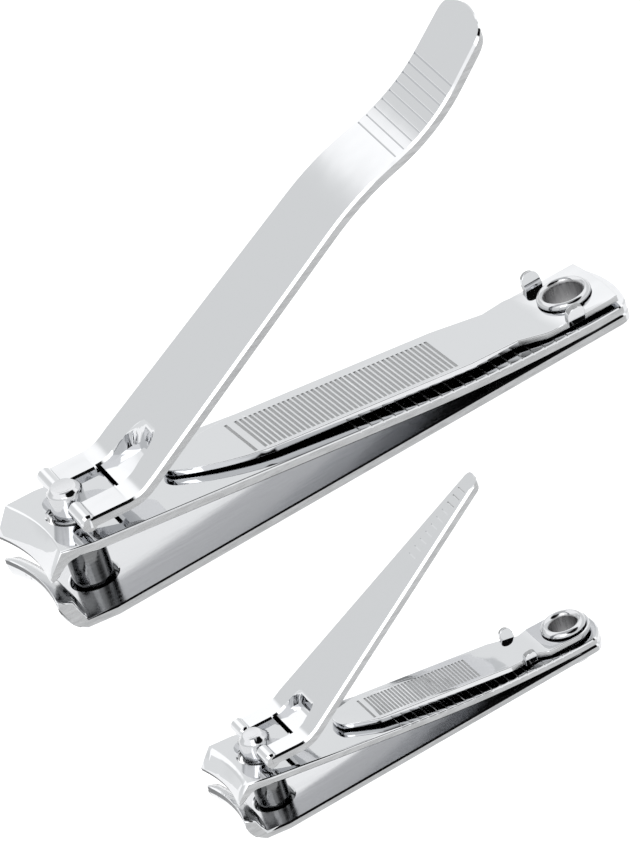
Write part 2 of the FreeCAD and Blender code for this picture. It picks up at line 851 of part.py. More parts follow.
def build_lever(names):
    """Forked thumb lever: knuckles on the cross pin, a window round the knob, a cam and its dimple."""
    body = new_body(names.clipper, "lever")
    side = new_sketch(body, "side", "XZ_Plane")
    draw(side, lever_side(names))
    pad(body, "blank", side, f"{names.shoulder_width} + {names.overrun}")
    knuckles = new_sketch(body, "knuckles", "XZ_Plane")
    draw_circle(knuckles, "0", names.pin_height, names.knuckle_radius)
    pad(body, "knuckles", knuckles, names.fork_width)

    under = f"({names.pin_height} - {names.lever_thickness} / 2)"
    top = f"({names.pin_height} + {names.lever_thickness} / 2)"
    slope = names.handle_angle
    cam_end = f"({names.fork_bend} + {names.cam_length} * cos({slope}))"
    cam_end_height = f"({under} + {names.cam_length} * sin({slope}) + {names.seat_depth})"
    dimple_start = f"({names.fork_bend} + {names.dimple_lead})"
    dimple_end = f"({names.fork_bend} + {names.dimple_length} * cos({slope}))"
    dimple_end_height = f"({top} + {names.dimple_length} * sin({slope}))"
    low = f"({under} - {names.cam_depth})"
    cam_heel = f"({low} + ({dimple_end} - {dimple_start}) * tan({names.dimple_angle}))"
    cam = new_sketch(body, "cam", "XZ_Plane")
    draw(cam, [
        (f"{names.fork_bend} - {names.cam_lead}", f"{under} + {names.seat_depth}"),
        (f"{names.fork_bend} - {names.cam_lead} / 2", low),
        (dimple_start, low),
        (dimple_end, cam_heel),
        (cam_end, cam_end_height),
    ])
    pad(body, "cam", cam, names.cam_width)

    trim_to_plan(body, "plan", lever_plan(names), f"{names.handle_length} * 2")
    window = new_sketch(body, "window", "XY_Plane")
    tip = f"-({names.knuckle_radius} + {names.overrun})"
    half_window = f"{names.fork_window} / 2"
    draw(window, [
        (tip, f"-{half_window}"),
        (names.window_reach, f"-{half_window}"),
        (names.window_reach, half_window),
        (tip, half_window),
    ])
    cut_through(body, "window", window)

    floor = f"({low} + {names.dimple_floor})"
    foot = f"({dimple_end} - {names.dimple_wall})"
    foot_height = f"({floor} + ({foot} - {dimple_start}) * tan({names.dimple_angle}))"
    dimple = new_sketch(body, "dimple", "XZ_Plane")
    draw(dimple, [
        (f"{names.window_reach} - {names.seat_depth}", floor),
        (dimple_start, floor),
        (foot, foot_height),
        (dimple_end, dimple_end_height),
        (f"{names.window_reach} - {names.seat_depth}", dimple_end_height),
    ])
    cut_across(body, "dimple", dimple, names.dimple_width)
    round_dimple(names, body, foot)

    bore = new_sketch(body, "pin_bore", "XZ_Plane")
    draw_circle(bore, "0", names.pin_height, f"{names.pin_width} / 2 + {names.pin_clearance}")
    cut_across(body, "pin_bore", bore, f"{names.pin_length} + 2 * {names.pin_end_room}")
    grooves = new_sketch(body, "grooves", "XZ_Plane")
    thumb_outlines(names, grooves)
    cut_across(body, "grooves", grooves, names.thumb_length)
    return body


def file_plan(names):
    """Plan outline of the nail file: a head round the eyelet, a waist, the body and a drawn-in tip."""
    half = [
        (names.head_rear, f"{names.head_width} / 2"),
        (f"-{names.head_front}", f"{names.head_width} / 2"),
        (f"-{names.waist_reach}", f"{names.waist_width} / 2"),
        (f"-{names.body_reach}", f"{names.body_width} / 2"),
        (f"-{names.taper_reach}", f"{names.body_width} / 2", (names.tip_round, 1)),
        (f"-{names.file_reach}", f"{names.tip_width} / 2", (names.tip_nose, 1)),
    ]
    outline = mirrored(half)
    outline[-1] = outline[-1] + ((names.head_round, 1),)
    return outline


def build_nail_file(names):
    """Swing-out file: flat head, then a straight run beside the upper arm, hatched on top."""
    body = new_body(names.clipper, "nail_file")
    side = new_sketch(body, "side", "XZ_Plane")
    low = names.file_height
    high = f"({low} + {names.file_thickness})"
    rise = f"({names.file_reach} + {names.overrun} - {names.file_bend}) * tan({names.file_angle})"
    tip = f"-({names.file_reach} + {names.overrun})"
    draw(side, [
        (f"{names.head_rear} + {names.overrun}", low),
        (f"{names.head_rear} + {names.overrun}", high),
        (f"-{names.file_bend}", high),
        (tip, f"{high} + {rise}"),
        (tip, f"{low} + {rise}"),
        (f"-{names.file_bend}", low),
    ])
    pad(body, "blank", side, f"{names.head_width} + {names.overrun}")
    trim_to_plan(body, "plan", file_plan(names), f"{names.file_reach} * 2")
    drill(body, "eyelet_hole", "XY_Plane", "0", "0", f"{names.barrel_radius} + {names.swing_clearance}")
    build_tabs(names, body)
    build_hatch(names, body)
    return body


def build_tabs(names, body):
    """Two round-ended finger tabs, bent up at the sides of the head and flared outward."""
    offset = {
        "x": f"-{names.tab_reach}",
        "y": tab_base(names),
        "z": f"{tab_half(names)}",
    }
    sketch = new_sketch(body, "tab", "XZ_Plane", offset, (Vector(1, 0, 0), names.tab_flare))
    half = f"{names.tab_width} / 2"
    straight = f"({names.tab_height} - {half})"
    draw(sketch, [
        (f"-{half}", "0"),
        (half, "0"),
        (half, straight, (half, 1)),
        ("0", names.tab_height, (half, 1)),
        (f"-{half}", straight),
    ])
    tab = pad(body, "tab", sketch, names.tab_thickness, symmetric=False)
    tab.Reversed = True
    other = body.newObject("PartDesign::Mirrored", f"{body.Label}_other_tab")
    other.Originals = [tab]
    other.MirrorPlane = (next(part for part in body.Origin.OriginFeatures if part.Role == "XZ_Plane"), [""])
    body.Tip = other
    document.recompute()


def tab_half(names):
    """Distance of a tab's outer face from the middle plane, at the file's side."""
    return f"{names.head_width} / 2"


def tab_base(names):
    """Height at which a tab starts: on the head, or further up the slope of the run."""
    if measure(names.tab_reach) <= measure(names.file_bend):
        return names.file_height
    return f"{names.file_height} + ({names.tab_reach} - {names.file_bend}) * tan({names.file_angle})"


def build_hatch(names, body):
    """Fine lines across the file's run, and one guide line set apart near the tip."""
    high = f"({names.file_height} + {names.file_thickness})"
    slope = names.file_angle
    run = f"({names.hatch_end} - {names.hatch_start})"
    for name, reach in (("guide_line", names.guide_line), ("hatch", names.hatch_start)):
        offset = {
            "x": f"-{reach}",
            "y": f"{high} + ({reach} - {names.file_bend}) * tan({slope})",
            "z": names.hatch_shift,
        }
        sketch = new_sketch(body, name, "XZ_Plane", offset, (Vector(0, 0, 1), f"-{slope}"))
        half = f"{names.hatch_width} / 2"
        draw(sketch, [
            (f"-{half}", names.hatch_depth),
            ("0", f"-{names.hatch_depth}"),
            (half, names.hatch_depth),
        ])
        line = cut_across(body, name, sketch, names.hatch_length)
    lines = body.newObject("PartDesign::LinearPattern", f"{body.Label}_hatch_lines")
    lines.Originals = [line]
    lines.Direction = (sketch, ["H_Axis"])
    lines.Reversed = True
    lines.setExpression("Length", run)
    lines.Occurrences = round(measure(f"{run} / {names.hatch_pitch}")) + 1
    body.Tip = lines
    document.recompute()


def place(names, body, at_post):
    """Stand a piece at its clipper's place, or at the post of it, turned with the lever."""
    turn = names.place_turn
    across = names.place_across
    along = names.place_along
    if at_post:
        across = f"{across} - {names.post_distance} * cos({turn})"
        along = f"{along} - {names.post_distance} * sin({turn})"
        turn = f"{turn} + {names.lever_turn}"
    spot = Vector(measure(across), measure(along), 0)
    body.Placement = Placement(spot, Rotation(Vector(0, 0, 1), measure(turn)))
    document.recompute()


def build_clipper(clipper):
    names = Names(clipper)
    at_eyelet = [build_lower_jaw, build_upper_jaw, build_eyelet, build_nail_file]
    at_post = [build_pivot_post, build_lever_pin, build_lever]
    bodies = []
    for build in at_eyelet + at_post:
        body = build(names)
        place(names, body, build in at_post)
        bodies.append(body)
    return bodies


def check(bodies):
    """Stop before anything is written if an object failed or a piece isn't one sound solid."""
    for item in document.Objects:
        if "Invalid" in item.State or "Error" in item.State:
            raise RuntimeError(f"{item.Label} failed: {item.State}")
    for body in bodies:
        if body.Shape.isNull() or not body.Shape.isValid():
            raise RuntimeError(f"{body.Label} has no sound shape")
        if len(body.Shape.Solids) != 1:
            raise RuntimeError(f"{body.Label} has {len(body.Shape.Solids)} solids")


def main():
    fill_sheet()
    bodies = build_clipper("toenail") + build_clipper("fingernail")
    document.recompute()
    check(bodies)
    os.makedirs("parts", exist_ok=True)
    for body in bodies:
        body.Shape.exportStep(f"parts/{body.Label}.step")
        print(body.Label, round(body.Shape.Volume, 2), "cubic mm")


main()
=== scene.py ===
# A set of two chrome nail clippers, dressed over its CAD frame: a toenail clipper and a fingernail clipper.
import json
import math

import bmesh
import bpy
from mathutils import Matrix, Vector


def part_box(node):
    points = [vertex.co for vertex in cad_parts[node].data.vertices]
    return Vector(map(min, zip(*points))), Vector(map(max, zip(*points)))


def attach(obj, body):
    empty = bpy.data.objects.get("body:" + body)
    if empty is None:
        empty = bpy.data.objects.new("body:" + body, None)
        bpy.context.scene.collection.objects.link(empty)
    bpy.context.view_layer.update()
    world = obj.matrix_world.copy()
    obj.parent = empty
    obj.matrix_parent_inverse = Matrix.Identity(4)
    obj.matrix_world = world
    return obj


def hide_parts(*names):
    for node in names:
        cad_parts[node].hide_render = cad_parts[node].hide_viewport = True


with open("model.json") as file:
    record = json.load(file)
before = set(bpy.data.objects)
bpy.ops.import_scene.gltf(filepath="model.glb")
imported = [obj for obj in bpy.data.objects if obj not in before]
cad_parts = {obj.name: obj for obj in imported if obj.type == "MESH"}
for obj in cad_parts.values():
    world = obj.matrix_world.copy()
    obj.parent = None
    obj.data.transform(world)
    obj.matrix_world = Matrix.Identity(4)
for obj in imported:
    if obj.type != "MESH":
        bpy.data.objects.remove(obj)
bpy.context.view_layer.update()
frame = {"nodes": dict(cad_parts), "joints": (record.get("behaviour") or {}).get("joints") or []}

bl_info = {
    "name": "Nail Clipper Set",
    "version": (1, 0, 0),
    "blender": (4, 5, 0),
    "location": "View3D > Sidebar > Clippers",
    "description": "Dresses the frame of two nail clippers in polished chrome and sets up a white studio",
    "category": "Object",
}

CLIPPERS = ("toenail", "fingernail")
MM = 0.001
# The photograph's long side in pixels, which the camera's sensor width stands for.
IMAGE_LONG_SIDE = 853

# How marks lie on a metal: a small number draws them out along that axis of the frame.
EVEN = (1.0, 1.0, 1.0)
ALONG_ARM = (0.08, 1.0, 1.0)
ALONG_EDGE = (0.2, 0.6, 1.0)
ALONG_LIP = (1.0, 0.08, 1.0)
UPRIGHT = (1.0, 1.0, 0.12)
AS_RINGS = (0.05, 0.05, 1.0)
# The noise that draws the marks: its detail, and the values that count as its lows and highs.
MARK_DETAIL = 2.0
MARK_LOW = 0.35
MARK_HIGH = 0.65

UP = Vector((0.0, 0.0, 1.0))
# Points nearer than this are one point, and faces that turn by less than this are one face.
SAME_POINT = 0.001 * MM
SAME_FACE = math.radians(0.3)
# Faces are told apart by the way they look. Each number is a cosine between a face's normal and an axis,
# and its name says whether it is the least or the most for a face of that sort.
WALL_MOST = 0.35
TIP_WALL_MOST = 0.6
ARM_SIDE_LEAST = 0.9
LEVER_SIDE_LEAST = 0.85
LIP_LEAST = 0.7
INSIDE_LEAST = 0.6
BORE_LEAST = 0.8
FLANK_LEAST = 0.5
FLANK_MOST = 0.97

# Sockets of a Mix node for colours, which share their names with its sockets for numbers.
MIX_SHARE = 0
MIX_FIRST = 6
MIX_SECOND = 7
MIX_RESULT = 2
# Cosines off a card's direction, at its rim and where it covers the cloth.
CARD_REACH = (0.955, 0.992)
FLAG_REACH = (0.88, 0.93)
VENT_REACH = (0.9, 0.97)
# Heights on the tent, as the upright part of a direction, where its grey wall ends and its white roof starts.
WALL_ENDS = 0.46
ROOF_STARTS = 0.56
# The camera's sensor width in millimetres, and how far it sees in metres.
SENSOR_WIDTH = 36.0
FARTHEST_VIEW = 50.0


def linear(hex_colour):
    """Turn an sRGB hex colour into linear red, green, blue and alpha, by the curve of the sRGB standard."""
    channels = []
    for start in (1, 3, 5):
        value = int(hex_colour[start:start + 2], 16) / 255
        if value <= 0.04045:
            channels.append(value / 12.92)
        else:
            channels.append(((value + 0.055) / 1.055) ** 2.4)
    return (*channels, 1.0)


# Properties


def colour(name, description, hex_colour):
    """A property for a colour."""
    return bpy.props.FloatVectorProperty(
        name=name, description=description, size=4, subtype="COLOR", min=0.0, max=1.0,
        default=linear(hex_colour),
    )


def length(name, description, millimetres):
    """A property for a length."""
    return bpy.props.FloatProperty(
        name=name, description=description, unit="LENGTH", subtype="DISTANCE", precision=5,
        default=millimetres * MM,
    )


def angle(name, description, degrees):
    """A property for an angle."""
    return bpy.props.FloatProperty(
        name=name, description=description, unit="ROTATION", subtype="ANGLE", default=math.radians(degrees),
    )


def factor(name, description, value):
    """A property for a share from 0 to 1."""
    return bpy.props.FloatProperty(
        name=name, description=description, subtype="FACTOR", min=0.0, max=1.0, default=value,
    )


def brightness(name, description, value):
    """A property for the strength of a light."""
    return bpy.props.FloatProperty(name=name, description=description, min=0.0, default=value)


def direction(name, description, along):
    """A property for a direction."""
    return bpy.props.FloatVectorProperty(
        name=name, description=description, size=3, subtype="DIRECTION", default=along,
    )


def point(name, description, metres):
    """A property for a point of the frame."""
    return bpy.props.FloatVectorProperty(
        name=name, description=description, size=3, subtype="TRANSLATION", unit="LENGTH", default=metres,
    )


class ClipperFinish(bpy.types.PropertyGroup):
    """Colours and polish of the plated steel."""

    chrome: colour("Chrome", "Colour of the polished chrome plate", "#D1D2D4")
    edge: colour("Sheared edge", "Colour of the satin edges where the strip was sheared", "#A9AAAB")
    # The chrome between the arms is darker than the open plate: painted shade.
    inside: colour("Inside", "Colour of the chrome between the arms", "#C3C4C6")
    nickel: colour("Nickel", "Colour of the rivets and posts", "#C1C2C4")
    # The shank is darker than the knob as painted shade between the arms.
    shank: colour("Post shank", "Colour of the turned shank between the arms", "#737475")
    ground: colour("Ground edge", "Colour of the ground cutting lips", "#6A6B6D")
    bore: colour("Rivet bore", "Colour inside the hollow rivet", "#ACACAD")
    file_face: colour("File face", "Colour of the cut lines of the nail file", "#9FA0A1")
    chrome_roughness: factor("Chrome roughness", "Blur of reflections in the plate", 0.035)
    inside_roughness: factor("Inside roughness", "Blur of reflections between the arms", 0.15)
    ground_roughness: factor("Ground roughness", "Blur of reflections in the ground lips", 0.45)
    shank_roughness: factor("Shank roughness", "Blur of reflections in the turned shank", 0.12)
    edge_roughness: factor("Edge roughness", "Blur of reflections in the sheared edges", 0.3)
    nickel_roughness: factor("Nickel roughness", "Blur of reflections in the rivets", 0.09)
    bore_roughness: factor("Bore roughness", "Blur of reflections inside the hollow rivet", 0.35)
    file_roughness: factor("File roughness", "Blur of reflections in the cut lines", 0.55)
    ripple: length("Ripple", "Spacing of the faint ripples that rolling leaves under the plate", 7.0)
    # Most real marks are finer than these, which are drawn as coarse as they need to be to show.
    edge_streak: length("Edge streak", "Spacing of the drag marks on the sheared edges", 0.4)
    rolling: length("Rolling lines", "Spacing of the rolling lines between the arms", 0.5)
    grinding: length("Grinding lines", "Spacing of the wheel's lines on the cutting lips", 0.15)
    turning: length("Turning rings", "Spacing of the turning rings on the posts", 0.2)
    dents: length("Dents", "Spacing of the dents that tumbling leaves on rivets", 0.6)
    drawing: length("Drawing lines", "Spacing of the drawing lines in the hollow rivets", 0.2)
    chisel: length("Chisel tears", "Spacing of the tears on the flanks of the cut lines", 0.1)


class ClipperEdges(bpy.types.PropertyGroup):
    """Rounding of the edges that stamping and tumbling leave."""

    arm_bevel: length("Arm edge", "Width of the bevel along the arms and blades", 0.18)
    lever_bevel: length("Lever edge", "Width of the bevel along the large lever", 0.26)
    small_bevel: length("Small lever edge", "Width of the bevel along the small lever", 0.22)
    file_round: length("File edge", "Width of the rounding along the nail files", 0.1)
    rivet_round: length("Rivet edge", "Width of the rounding on rivets, posts and pins", 0.12)
    sharp_angle: angle("Sharp from", "Only edges that turn by more than this are rounded", 58.0)
    smallest_face: length("Smallest face", "Side of a square of the smallest area that is rounded", 0.22)
    grip_width: length("Grip width", "Widest flank of a grip line on the arms", 0.16)
    # Below this, a post takes the darker shank colour, painted shade between the arms.
    neck_drop: length("Neck drop", "How far under the cross pin a post's polish ends", 1.2)
    lip_height: length("Lip height", "Height of the ground lip of the lower blades", 0.9)
    tab_rise: length("Tab rise", "Height over a file's underside where its finger tabs start", 1.0)
    tip_height: length("Tip height", "Height of a lever's tip whose end wall is sheared", 2.5)
    crease: angle("Crease", "Faces that meet at more than this are shaded apart", 40.0)
    lever_crease: angle("Lever crease", "The same for the levers, whose thumb lines are shallow", 30.0)
    segments: bpy.props.IntProperty(name="Segments", description="Faces across a rounding", default=3, min=1)


class ClipperStudio(bpy.types.PropertyGroup):
    """The floor, the lights and the camera."""

    floor: colour("Floor", "Colour of the backlit acrylic", "#9A9A9A")
    floor_width: length("Floor width", "Width of the acrylic sheet", 8000.0)
    floor_roughness: factor("Floor roughness", "Blur of reflections in the acrylic", 0.9)
    glow: colour("Glow", "Colour of the light under the acrylic", "#FFFFFF")
    floor_glow: brightness("Floor glow", "Brightness of the light under the acrylic", 0.92)
    tent_low: colour("Tent wall", "Colour of the tent's cloth near the table", "#D9DADA")
    tent_high: colour("Tent roof", "Colour of the tent's cloth overhead", "#FFFFFF")
    tent_strength: brightness("Tent strength", "Brightness of the tent", 1.55)
    card: colour("Grey card", "Colour of the grey card behind the levers", "#CFD0D0")
    card_toward: direction("Grey card place", "Direction of the grey card", (-0.37, 0.857, 0.36))
    flag: colour("Black flag", "Colour of the black flag above the camera", "#0C0C0C")
    flag_toward: direction("Black flag place", "Direction of the black flag", (0.28, -0.5, 0.78))
    vent: colour("Grey vent", "Colour of the grey vent in the tent's roof", "#B4B5B6")
    vent_toward: direction("Grey vent place", "Direction of the grey vent", (0.0, 0.0, 1.0))
    softbox_place: point("Softbox place", "Where the softbox hangs", (-0.48, -0.62, 0.68))
    softbox_aim: point("Softbox aim", "Point that the softbox is turned to", (-0.03, -0.03, 0.0))
    softbox_width: length("Softbox width", "Side of the square softbox", 450.0)
    softbox_power: brightness("Softbox power", "Power of the softbox in watts", 1.0)
    camera_azimuth: angle("Camera azimuth", "Turn of the camera round the set, from in front", -19.1494)
    camera_elevation: angle("Camera elevation", "Height of the camera above the horizon", 31.66)
    camera_roll: angle("Camera roll", "Tilt of the picture", -18.5632)
    camera_distance: length("Camera distance", "Distance from the camera to its aim", 1000.0)
    focal_pixels: bpy.props.FloatProperty(
        name="Focal length in pixels", description="Focal length over the photograph's pixel size",
        default=8915.1,
    )
    camera_aim: point("Camera aim", "Point that the camera is turned to", (-0.032, 0.0, 0.007))
    slide_right: length("Slide right", "Sideways shift of the camera in the picture", -0.0368)
    slide_up: length("Slide up", "Upward shift of the camera in the picture", -2.0844)


# Materials


def add_node(tree, kind, settings=None, inputs=None):
    """Add one node, with its settings, and its sockets set or linked."""
    node = tree.nodes.new(kind)
    for name, value in (settings or {}).items():
        setattr(node, name, value)
    for name, value in (inputs or {}).items():
        if isinstance(value, bpy.types.NodeSocket):
            tree.links.new(value, node.inputs[name])
        else:
            node.inputs[name].default_value = value
    return node


def new_material(name, tint, roughness):
    """A bare metal with an even colour. Returns the material and its shader."""
    material = bpy.data.materials.new(name)
    material.use_nodes = True
    tree = material.node_tree
    tree.nodes.clear()
    shader = add_node(tree, "ShaderNodeBsdfPrincipled", inputs={
        "Base Color": tint, "Metallic": 1.0, "Roughness": roughness,
    })
    add_node(tree, "ShaderNodeOutputMaterial", inputs={"Surface": shader.outputs["BSDF"]})
    return material, shader


def lay_marks(metal, spacing, stretch, depth, blur=0.0, tone=0.0):
    """Lay the marks of making on a bare metal.

    Spacing and depth are lengths. Stretch is small along the axes that the marks run along.
    Blur and tone are the shares by which the marks change the roughness and the colour.
    """
    material, shader = metal
    tree = material.node_tree
    place = add_node(tree, "ShaderNodeTexCoord")
    run = add_node(tree, "ShaderNodeMapping", inputs={"Vector": place.outputs["Object"], "Scale": stretch})
    marks = add_node(tree, "ShaderNodeTexNoise", inputs={
        "Vector": run.outputs["Vector"], "Scale": 1 / spacing, "Detail": MARK_DETAIL,
    })
    bump = add_node(tree, "ShaderNodeBump", inputs={"Distance": depth, "Height": marks.outputs["Fac"]})
    tree.links.new(bump.outputs["Normal"], shader.inputs["Normal"])
    if blur:
        roughness = shader.inputs["Roughness"].default_value
        spread = add_node(tree, "ShaderNodeMapRange", inputs={
            "Value": marks.outputs["Fac"], "From Min": MARK_LOW, "From Max": MARK_HIGH,
            "To Min": roughness * (1 - blur), "To Max": roughness * (1 + blur),
        })
        tree.links.new(spread.outputs["Result"], shader.inputs["Roughness"])
    if tone:
        tint = Vector(shader.inputs["Base Color"].default_value[:3])
        shades = add_node(tree, "ShaderNodeValToRGB", inputs={"Fac": marks.outputs["Fac"]})
        for stop, place_on_ramp, share in ((0, MARK_LOW, 1 - tone), (1, MARK_HIGH, 1 + tone)):
            shades.color_ramp.elements[stop].position = place_on_ramp
            shades.color_ramp.elements[stop].color = (*(tint * share), 1.0)
        tree.links.new(shades.outputs["Color"], shader.inputs["Base Color"])
    return material


def chrome_plate(finish):
    """Bright chrome over rolled steel strip."""
    # Plating copies the strip below it: a near mirror whose reflections bend a little with its ripple.
    metal = new_material("chrome_plate_on_rolled_steel", finish.chrome, finish.chrome_roughness)
    return lay_marks(metal, finish.ripple, EVEN, depth=0.03 * MM, blur=0.3)


def chrome_inside_with_painted_shade(finish):
    """Chrome on the faces between the arms, darkened as painted shade."""
    # Polishing wheels can't reach in well, so the plate keeps faint rolling lines and its reflections fade.
    # Its darker colour is painted shade between the arms.
    metal = new_material("chrome_plate_between_arms_with_painted_shade", finish.inside, finish.inside_roughness)
    return lay_marks(metal, finish.rolling, ALONG_ARM, depth=0.0005 * MM, blur=0.25, tone=0.015)


def ground_lip(finish):
    """Ground cutting lips of the blades."""
    # The lips are ground after plating, so bare grey steel shows, with the wheel's lines along the lip.
    metal = new_material("ground_carbon_steel_lip", finish.ground, finish.ground_roughness)
    return lay_marks(metal, finish.grinding, ALONG_LIP, depth=0.01 * MM, blur=0.25, tone=0.2)


def turned_shank_with_painted_shade(finish):
    """Turned shank of the posts, between the arms, darkened as painted shade."""
    # The shank is turned but not polished, with fine rings that smear its reflections; its colour is darker
    # than the knob's as painted shade between the arms.
    metal = new_material("turned_steel_shank_with_painted_shade", finish.shank, finish.shank_roughness)
    return lay_marks(metal, finish.turning, AS_RINGS, depth=0.002 * MM, blur=0.4, tone=0.1)


def sheared_edge(finish):
    """Plated edge of sheared strip."""
    # The shear leaves drag marks along the strip, so the plate over them is satin and cloudy.
    metal = new_material("chrome_plate_on_sheared_edge", finish.edge, finish.edge_roughness)
    return lay_marks(metal, finish.edge_streak, ALONG_EDGE, depth=0.012 * MM, blur=0.3, tone=0.1)


def nickel_plate(finish):
    """Nickel plate on turned rivets and posts."""
    # Turned and tumbled: bright, a little softer than the chrome, with the shallow dents of tumbling.
    metal = new_material("nickel_plate_on_turned_steel", finish.nickel, finish.nickel_roughness)
    return lay_marks(metal, finish.dents, EVEN, depth=0.003 * MM, blur=0.3)


def rivet_bore(finish):
    """Inside of the hollow rivet."""
    # The drawn tube is plated thinly inside: grey and dull, with lines along the draw.
    metal = new_material("drawn_tube_inside", finish.bore, finish.bore_roughness)
    return lay_marks(metal, finish.drawing, UPRIGHT, depth=0.004 * MM, blur=0.3, tone=0.12)


def file_cut(finish):
    """Cut lines of the nail file."""
    # Each chiselled line has rough, torn flanks, so the hatch reads as matte grey between mirror strips.
    metal = new_material("chiselled_file_steel", finish.file_face, finish.file_roughness)
    return lay_marks(metal, finish.chisel, EVEN, depth=0.01 * MM, blur=0.2, tone=0.12)


# Meshes


def copy_of(node, new_normals=False):
    """A new object with a copy of a CAD node's mesh, cleaned to one skin of flat faces.

    The frame's own normals shade its edges softly. A piece with fine lines needs new ones to show them.
    """
    source = frame["nodes"][node]
    piece = bpy.data.objects.new(f"{node}_dressed", source.data.copy())
    bpy.context.scene.collection.objects.link(piece)
    piece.data.materials.clear()
    normals = piece.data.attributes.get("custom_normal")
    if normals and new_normals:
        piece.data.attributes.remove(normals)
    shape = bmesh.new()
    shape.from_mesh(piece.data)
    bmesh.ops.remove_doubles(shape, verts=shape.verts[:], dist=SAME_POINT)
    bmesh.ops.dissolve_limit(shape, angle_limit=SAME_FACE, verts=shape.verts[:], edges=shape.edges[:])
    return piece, shape


def width_of(face):
    """How wide a long face is."""
    return face.calc_area() / max(edge.calc_length() for edge in face.edges)


def leans_up(edge):
    """Whether an edge belongs to the upper side of its piece."""
    return sum(face.normal.z for face in edge.link_faces) > 0


def round_edges(shape, width, edges, segments, upper_only=False):
    """Round the outer edges that turn sharply, or bevel them with one segment.

    Edges of small faces and of faces under half as wide as a grip line's flank stay, so fine lines are kept.
    """
    chosen = []
    for edge in shape.edges:
        if len(edge.link_faces) != 2 or edge.calc_face_angle_signed() < edges.sharp_angle:
            continue
        if upper_only and not leans_up(edge):
            continue
        if min(face.calc_area() for face in edge.link_faces) < edges.smallest_face ** 2:
            continue
        if min(width_of(face) for face in edge.link_faces) > edges.grip_width / 2:
            chosen.append(edge)
    bmesh.ops.bevel(
        shape, geom=chosen, offset=width, offset_type="OFFSET", segments=segments, profile=0.5,
        affect="EDGES", clamp_overlap=False,
    )


def finish_piece(piece, shape, node, body, materials, crease):
    """Write the mesh back, smooth it, and let the piece ride on its body and stand for its node."""
    shape.normal_update()
    shape.to_mesh(piece.data)
    shape.free()
    for material in materials:
        piece.data.materials.append(material)
    piece.data.shade_smooth()
    piece.data.set_sharp_from_angle(angle=crease)
    weighted = piece.modifiers.new("flat_faces_stay_flat", "WEIGHTED_NORMAL")
    weighted.keep_sharp = True
    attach(piece, body)
    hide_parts(node)


def hinge_axis(joint_name):
    """The direction of a joint's axis."""
    joint = next(item for item in frame["joints"] if item["name"] == joint_name)
    return Vector(joint["axis"]).normalized()


def paint_sides(shape, index):
    """Give a material's index to the upright faces of a file, where its strip was sheared."""
    shape.normal_update()
    for face in shape.faces:
        if abs(face.normal.z) < WALL_MOST:
            face.material_index = index


def paint_tabs(shape, lowest, index):
    """Give a material's index to the finger tabs of a file, which stand above a height."""
    for face in shape.faces:
        if face.calc_center_median().z > lowest:
            face.material_index = index


def paint_grips(shape, widest, index):
    """Give a material's index to the narrow flanks of grip lines."""
    for face in shape.faces:
        if width_of(face) < widest:
            face.material_index = index


def paint_lips(shape, forward, lowest, index):
    """Give a material's index to the ground lips of a blade: upright faces at its front, above a height."""
    for face in shape.faces:
        upright = abs(face.normal.z) < WALL_MOST and face.calc_center_median().z > lowest
        if upright and face.normal.dot(forward) > LIP_LEAST:
            face.material_index = index


def paint_shaded_inside(shape, side, plate, index):
    """Give a material's index to an arm's plated faces that look at the other arm, for the darker chrome of
    painted shade between the arms.
    """
    for face in shape.faces:
        if face.material_index == plate and face.normal.z * side > INSIDE_LEAST:
            face.material_index = index


def paint_shaded_shank(shape, below, index):
    """Give a material's index to the shank of a post, under the upper arm, for its darker colour of painted
    shade.
    """
    for face in shape.faces:
        if face.calc_center_median().z < below:
            face.material_index = index


def paint_cuts(shape, smallest, index):
    """Give a material's index to the sloping flanks and the small end walls of the cut lines of a file."""
    for face in shape.faces:
        if FLANK_LEAST < face.normal.z < FLANK_MOST or face.calc_area() < smallest ** 2:
            face.material_index = index


def middle_of(node):
    """The middle of a CAD node's box."""
    low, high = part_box(node)
    return (Vector(low) + Vector(high)) / 2


def paint_bore(shape, node, index):
    """Give a material's index to the wall of a hollow rivet's bore."""
    middle = middle_of(node)
    shape.normal_update()
    for face in shape.faces:
        inward = middle - face.calc_center_median()
        inward.z = 0.0
        if face.normal.dot(inward.normalized()) > BORE_LEAST:
            face.material_index = index


# Operators


class ClipperOperator:
    """What the clipper operators share."""

    bl_options = {"REGISTER", "UNDO"}

    def settings(self, context):
        scene = context.scene
        return scene.clipper_finish, scene.clipper_edges


class CLIPPER_OT_jaws(ClipperOperator, bpy.types.Operator):
    """Dress the lower and upper jaws: mirror faces, satin sheared sides and ground lips"""

    bl_idname = "clipper.jaws"
    bl_label = "Jaws"

    def execute(self, context):
        finish, edges = self.settings(context)
        materials = [chrome_plate(finish), sheared_edge(finish), ground_lip(finish), chrome_inside_with_painted_shade(finish)]
        plate, sheared, ground, inside = range(4)
        for clipper in CLIPPERS:
            across = hinge_axis(f"{clipper}_jaw_close")
            forward = across.cross(UP)
            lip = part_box(f"{clipper}_lower_jaw")[1][2] - edges.lip_height
            for arm, body, side in (("lower_jaw", "base", 1), ("upper_jaw", "top_arm", -1)):
                node = f"{clipper}_{arm}"
                piece, shape = copy_of(node)
                shape.normal_update()
                for face in shape.faces:
                    face.material_index = sheared if abs(face.normal.dot(across)) > ARM_SIDE_LEAST else plate
                paint_grips(shape, edges.grip_width, sheared)
                paint_lips(shape, forward, lip, ground)
                # The faces between the arms take the darker chrome: painted shade.
                paint_shaded_inside(shape, side, plate, inside)
                round_edges(shape, edges.arm_bevel, edges, segments=1)
                finish_piece(piece, shape, node, f"{clipper}_{body}", materials, edges.crease)
        return {"FINISHED"}


